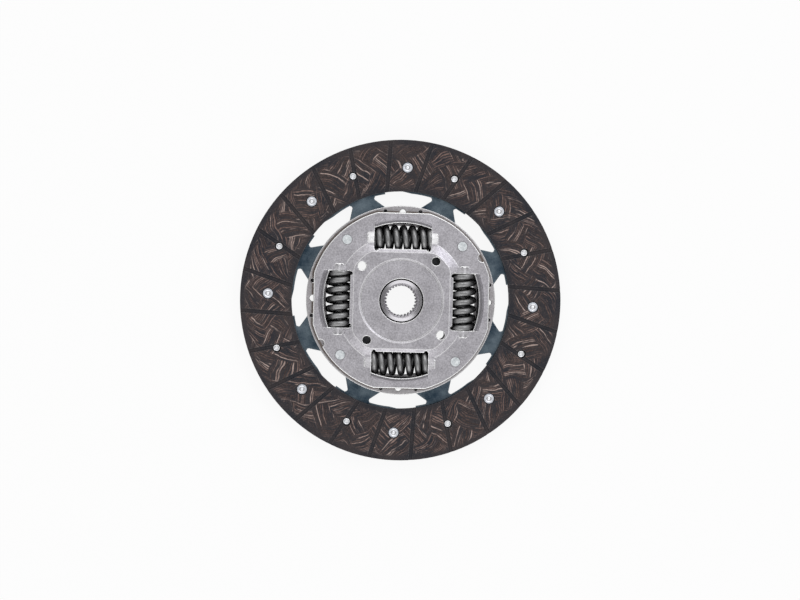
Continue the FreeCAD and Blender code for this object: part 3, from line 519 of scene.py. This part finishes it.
def blue_and_shade_under_covers(steel, colour):
    """The sheet is blue between the covers and the facings, and under both it is painted
    dark as shade.
    """
    reach = steel.reach()
    blue = steel.math("MULTIPLY", steel.range(reach, 66.2 * MM, 66.8 * MM),
                      steel.range(reach, 78.5 * MM, 77.2 * MM))
    return steel.blend(blue, UNDER_SHADE_COLOUR, colour)


print("painted shade and highlights ready")

# %% Dress the steel pieces
# The covers' edges are painted near-white: partly wear, partly painted highlight.
cover_steel = make_steel("cover steel", (0.29, 0.28, 0.30, 1), (0.57, 0.555, 0.59, 1),
                         0.30, 0.42, edge=grey(0.98), shade=painted_shade_and_highlights, drawn=drawn_places)
rear_cover_steel = make_steel("rear cover steel", (0.32, 0.305, 0.315, 1), (0.53, 0.515, 0.53, 1),
                              0.30, 0.42, edge=grey(0.75), shade=shaded_rim)
blued_steel = make_steel("blued spring steel", (0.012, 0.028, 0.048, 1), (0.150, 0.190, 0.220, 1),
                         0.28, 0.42, mottle=55.0, cloudy=0.8, edge=(0.14, 0.17, 0.19, 1),
                         shade=blue_and_shade_under_covers)
pin_steel = make_steel("pin steel", (0.46, 0.50, 0.52, 1), (0.92, 0.95, 0.97, 1), 0.28, 0.40,
                       mottle=420.0, cloudy=0.5)
hub_steel = make_turned_steel("turned hub steel", (0.56, 0.545, 0.57, 1), (0.74, 0.725, 0.76, 1),
                              rings=4000.0, roughness=0.26, stretch=0.3, outside=14.55 * MM)
# The flange and the cup spring sit deep in the dark, so their steel is painted near-black as shade.
shade_black_steel = make_steel("steel painted black as shade", (0.02, 0.02, 0.021, 1), (0.055, 0.055, 0.06, 1), 0.32, 0.5)
liner = make_steel("friction liner", (0.045, 0.042, 0.04, 1), (0.09, 0.08, 0.075, 1), 0.6, 0.8)

dress(cover_steel, "retainer_plate", "support_washer")
dress(rear_cover_steel, "drive_plate")
dress(blued_steel, "cushion_disc")
dress(pin_steel, *[f"stop_pin_{number}" for number in range(1, 5)])
dress(hub_steel, "hub")
dress(shade_black_steel, "hub_flange", "belleville_spring")
dress(liner, "front_friction_ring", "centring_bush")
print("steel pieces dressed")

# %% [markdown]
# ## The damper springs
#
# A damper spring is round wire wound to the right, with its end coils closed and ground flat. A
# bmesh spin with a step along its axis winds a circle into a coil. The end coils take a small
# step and the working coils a larger one. The spring is wound upright, its ends are cut with two
# planes and capped as a grinding wheel would leave them, and then it is laid in its window.

# %% Wind the springs
COIL_RADIUS = 7.47 * MM
WIRE_RADIUS = 2.30 * MM
SPRING_LENGTH = 40.0 * MM
DEAD_PITCH = 4.75 * MM
DEAD_TURNS = 1.0
ACTIVE_TURNS = 4.82
SPRING_CIRCLE = 43.8 * MM
SPRING_MIDDLE = 7.8 * MM
FIRST_CROSSINGS = (152.0, 265.0, 197.0, 152.0)
STEPS_PER_TURN = 40
WIRE_SIDES = 20
active_pitch = (SPRING_LENGTH - 2 * DEAD_TURNS * DEAD_PITCH) / ACTIVE_TURNS


def wind_coil(bm, start):
    """Round wire wound upright from height 0 to the spring's length, with ground ends."""
    section = bmesh.ops.create_circle(bm, cap_ends=False, segments=WIRE_SIDES, radius=WIRE_RADIUS)
    lead = Vector((0, 0, -DEAD_PITCH / 2))
    place = (Matrix.Translation(lead) @ Matrix.Rotation(start - math.pi, 4, "Z")
             @ Matrix.Translation((COIL_RADIUS, 0, 0)) @ Matrix.Rotation(math.pi / 2, 4, "X"))
    bmesh.ops.transform(bm, matrix=place, verts=section["verts"])
    live = list({edge for vert in section["verts"] for edge in vert.link_edges})
    for turns, pitch in ((0.5 + DEAD_TURNS, DEAD_PITCH), (ACTIVE_TURNS, active_pitch),
                         (DEAD_TURNS + 0.5, DEAD_PITCH)):
        steps = round(turns * STEPS_PER_TURN)
        wound = bmesh.ops.spin(bm, geom=live, cent=(0, 0, 0), axis=(0, 0, 1),
                               dvec=(0, 0, pitch * turns / steps),
                               angle=2 * math.pi * turns, steps=steps)
        live = [item for item in wound["geom_last"] if isinstance(item, bmesh.types.BMEdge)]
    for height, side in ((0.0, -1), (SPRING_LENGTH, 1)):
        cut = bmesh.ops.bisect_plane(bm, geom=bm.verts[:] + bm.edges[:] + bm.faces[:],
                                     plane_co=(0, 0, height), plane_no=(0, 0, side),
                                     clear_outer=True)
        rim = [item for item in cut["geom_cut"] if isinstance(item, bmesh.types.BMEdge)]
        bmesh.ops.holes_fill(bm, edges=rim)
    bmesh.ops.recalc_face_normals(bm, faces=bm.faces)


def new_piece(name, bm, material, sharp=40.0):
    """A mesh object from a bmesh, smooth but for edges sharper than an angle."""
    bm.normal_update()
    for face in bm.faces:
        face.smooth = True
    limit = math.radians(sharp)
    for edge in bm.edges:
        edge.smooth = len(edge.link_faces) == 2 and edge.calc_face_angle(0.0) < limit
    mesh = bpy.data.meshes.new(name)
    bm.to_mesh(mesh)
    bm.free()
    mesh.materials.append(material)
    piece = bpy.data.objects.new(name, mesh)
    bpy.context.scene.collection.objects.link(piece)
    return piece


spring_finish = make_steel("spring steel", (0.19, 0.19, 0.192, 1), (0.31, 0.31, 0.312, 1),
                           0.30, 0.42, mottle=200.0)
for number, crossing in enumerate(FIRST_CROSSINGS, start=1):
    coil = bmesh.new()
    wind_coil(coil, math.radians(90 - crossing))
    lay = (Matrix.Rotation(math.pi / 2 * (number - 1), 4, "Z")
           @ Matrix.Translation((SPRING_CIRCLE, SPRING_LENGTH / 2, SPRING_MIDDLE))
           @ Matrix.Rotation(math.pi / 2, 4, "X"))
    bmesh.ops.transform(coil, matrix=lay, verts=coil.verts)
    spring = new_piece(f"wound_spring_{number}", coil, spring_finish)
    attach(spring, "plates")
    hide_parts(f"damper_spring_{number}")
    print(spring.name, len(spring.data.polygons), "faces")

# %% [markdown]
# ## The facing rivets
#
# Each rivet has a flat head sunk in one facing, with a small boss and a ring round it that the
# setting tool pressed in. Its hollow end is rolled outwards on the far side of the sheet, at the
# bottom of a clearance hole in the other facing. One profile spun about the rivet's own axis
# makes it, and copies go round the rivet circle.

# %% Spin the rivets
RIVET_CIRCLE = 94.4 * MM
RIVET_COUNT = 8
RIVET_STEPS = 32
FRONT_RIVET_TURN = 43.5
REAR_RIVET_TURN = 22.5
RIVET_PROFILE = (
    (0.00, 3.08), (0.80, 3.06), (1.02, 2.96), (1.22, 2.76), (1.60, 2.72), (1.80, 2.78),
    (2.06, 3.02), (2.40, 3.13), (3.15, 3.20), (3.60, 3.11), (3.86, 2.86), (3.95, 2.32),
    (2.08, 2.32), (2.08, 0.02), (2.35, 0.00), (2.58, -0.18), (2.60, -0.48), (2.38, -0.74),
    (2.00, -0.80), (1.62, -0.66), (1.34, -0.36), (1.20, 0.10), (1.16, 0.55), (0.00, 0.70),
)


def spin_profile(bm, profile):
    """A closed turned shape from (radius, height) pairs in millimetres, about the Z axis."""
    verts = [bm.verts.new((radius * MM, 0, height * MM)) for radius, height in profile]
    edges = [bm.edges.new(pair) for pair in zip(verts, verts[1:])]
    bmesh.ops.spin(bm, geom=verts + edges, cent=(0, 0, 0), axis=(0, 0, 1), angle=2 * math.pi,
                   steps=RIVET_STEPS, use_merge=True)
    bmesh.ops.remove_doubles(bm, verts=bm.verts, dist=1e-7)
    bmesh.ops.recalc_face_normals(bm, faces=bm.faces)


def ring_of_rivets(name, first_turn, turned_over):
    """Copies of the rivet round the rivet circle, as one mesh."""
    ring = bmesh.new()
    for number in range(RIVET_COUNT):
        turn = math.radians(first_turn + 360 / RIVET_COUNT * number)
        one = bmesh.new()
        spin_profile(one, RIVET_PROFILE)
        place = Matrix.Rotation(turn, 4, "Z") @ Matrix.Translation((RIVET_CIRCLE, 0, 0))
        if turned_over:
            place = place @ Matrix.Rotation(math.pi, 4, "X")
        bmesh.ops.transform(one, matrix=place, verts=one.verts)
        single = bpy.data.meshes.new("one rivet")
        one.to_mesh(single)
        one.free()
        ring.from_mesh(single)
        bpy.data.meshes.remove(single)
    return new_piece(name, ring, rivet_finish, sharp=50.0)


def shaded_groove_and_lit_end(steel, colour):
    """The groove round the boss is painted darker as shade, and the boss is painted paler. The
    rolled end, at the bottom of its clearance hole, is painted near-white as painted light."""
    height = steel.math("ABSOLUTE", steel.z)
    # Painted shade in the groove round the boss.
    deep = steel.math("MULTIPLY", steel.range(height, 3.02 * MM, 2.85 * MM),
                      steel.range(height, 1.2 * MM, 1.4 * MM))
    boss = steel.blend(steel.range(height, 3.10 * MM, 3.085 * MM), colour, (0.93, 0.94, 0.97, 1))
    groove_shade = steel.blend(steel.math("MULTIPLY", deep, 0.62), boss, (0.17, 0.17, 0.18, 1))
    # Painted light on the rolled end, deep in its clearance hole.
    return steel.blend(steel.range(height, 1.2 * MM, 1.0 * MM), groove_shade, (0.97, 0.98, 1.0, 1))


rivet_finish = make_steel("plated rivet", (0.40, 0.42, 0.46, 1), (0.78, 0.80, 0.85, 1), 0.30, 0.42,
                          mottle=500.0, shade=shaded_groove_and_lit_end)
for name, node, first_turn, turned_over in (
        ("sunk_rivets_front", "front_facing_rivets", FRONT_RIVET_TURN, False),
        ("sunk_rivets_rear", "rear_facing_rivets", REAR_RIVET_TURN, True)):
    rivets = ring_of_rivets(name, first_turn, turned_over)
    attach(rivets, "plates")
    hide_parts(node)
    print(rivets.name, len(rivets.data.polygons), "faces")

# %% [markdown]
# ## The studio
#
# The disc lies on a plain white table under a pale ceiling, with a brighter band round the
# ceiling and a darker horizon below that. Steel is mostly a mirror of the room. Flat steel shows
# the ceiling, pressed slopes and beads show the bright band, and steep shapes such as the hoods
# and the wire of the springs show the horizon. Two sides of the room glow down to the horizon,
# for the hub's cone. The table shows as white to the camera and still takes a soft shadow.

# %% Lay the table
TABLE_HALF = 3.0
TABLE_GAP = 0.1 * MM
TABLE_GLOW = 0.995
GLOW_SHARE = 0.91


def make_table():
    """White that mostly glows when the camera looks at it, and is plain paint to all else."""
    table = Finish("white table")
    diffuse = table.node("ShaderNodeBsdfDiffuse", {"Color": grey(0.8)})
    glow = table.node("ShaderNodeEmission", {"Color": grey(1.0), "Strength": TABLE_GLOW})
    path = table.node("ShaderNodeLightPath", output="Is Camera Ray").node
    seen = table.math("MAXIMUM", path.outputs["Is Camera Ray"],
                      path.outputs["Is Transmission Ray"])
    part = table.math("MULTIPLY", seen, GLOW_SHARE)
    mixed = table.node("ShaderNodeMixShader", {0: part, 1: diffuse, 2: glow})
    output = table.tree.nodes["Material Output"]
    table.tree.links.new(mixed, output.inputs["Surface"])
    return table.material


table_mesh = bmesh.new()
bmesh.ops.create_grid(table_mesh, x_segments=1, y_segments=1, size=TABLE_HALF)
table_drop = Vector((0, 0, cad_box[0][2] - TABLE_GAP))
bmesh.ops.translate(table_mesh, vec=table_drop, verts=table_mesh.verts)
table = new_piece("table", table_mesh, make_table())
print(f"table top at {table_drop.z / MM:.1f} mm")

# %% Hang the lamps


def hang_lamp(name, place, size, watts, tint=(1, 1, 1)):
    """A rectangular soft box that faces the disc."""
    light = bpy.data.lights.new(name, "AREA")
    light.shape = "RECTANGLE"
    light.size, light.size_y = size
    light.energy = watts
    light.color = tint
    lamp = bpy.data.objects.new(name, light)
    bpy.context.scene.collection.objects.link(lamp)
    lamp.location = place
    lamp.rotation_euler = (-Vector(place)).to_track_quat("-Z", "Y").to_euler()
    print(f"{name}: {watts} W")


hang_lamp("far soft box", (0.15, 1.15, 1.25), (1.3, 0.8), 2.4)
hang_lamp("near soft box", (-0.05, -1.15, 1.25), (1.3, 0.8), 2.0)
hang_lamp("corner soft box", (0.72, 0.66, 1.45), (0.5, 0.5), 2.1, (0.92, 0.92, 1.0))

# %% Paint the sky
# Each stop is the sine of the angle from straight up, then the room's brightness there. The
# ceiling comes first, then the bright band, then the dark horizon.
SKY_STOPS = ((0.0, 0.80), (0.42, 0.80), (0.58, 0.92),
             (0.70, 1.20), (0.78, 1.10),
             (0.86, 0.17), (0.95, 0.15), (1.0, 0.45))
SKY_SCALE = 1.2
SIDE_GLOW = 0.95

world = bpy.data.worlds.new("studio")
world.use_nodes = True
bpy.context.scene.world = world
sky = Wiring(world.node_tree)
_, north, height = sky.split(sky.node("ShaderNodeTexCoord", output="Generated"))
slant = sky.math("SQRT", sky.math("SUBTRACT", 1.0, sky.math("MULTIPLY", height, height)))
bands = sky.node("ShaderNodeValToRGB", (slant,))
ramp = bands.node.color_ramp
for _ in SKY_STOPS[2:]:
    ramp.elements.new(0.5)
for element, (position, level) in zip(ramp.elements, SKY_STOPS):
    element.position = position
    element.color = grey(level / SKY_SCALE)
sideways = sky.range(sky.math("ABSOLUTE", north), 0.62, 0.78)
glow = sky.math("MULTIPLY", sideways, sky.range(height, -0.1, 0.1, 0.0, SIDE_GLOW))
level = sky.math("MULTIPLY_ADD", bands, SKY_SCALE, glow)
seen = sky.node("ShaderNodeLightPath", output="Is Camera Ray")
shown = sky.blend(seen, level, grey(1.0))
sky.wire(world.node_tree.nodes["Background"], {"Color": shown})

view = bpy.context.scene.view_settings
view.view_transform = "Standard"
print("studio ready")
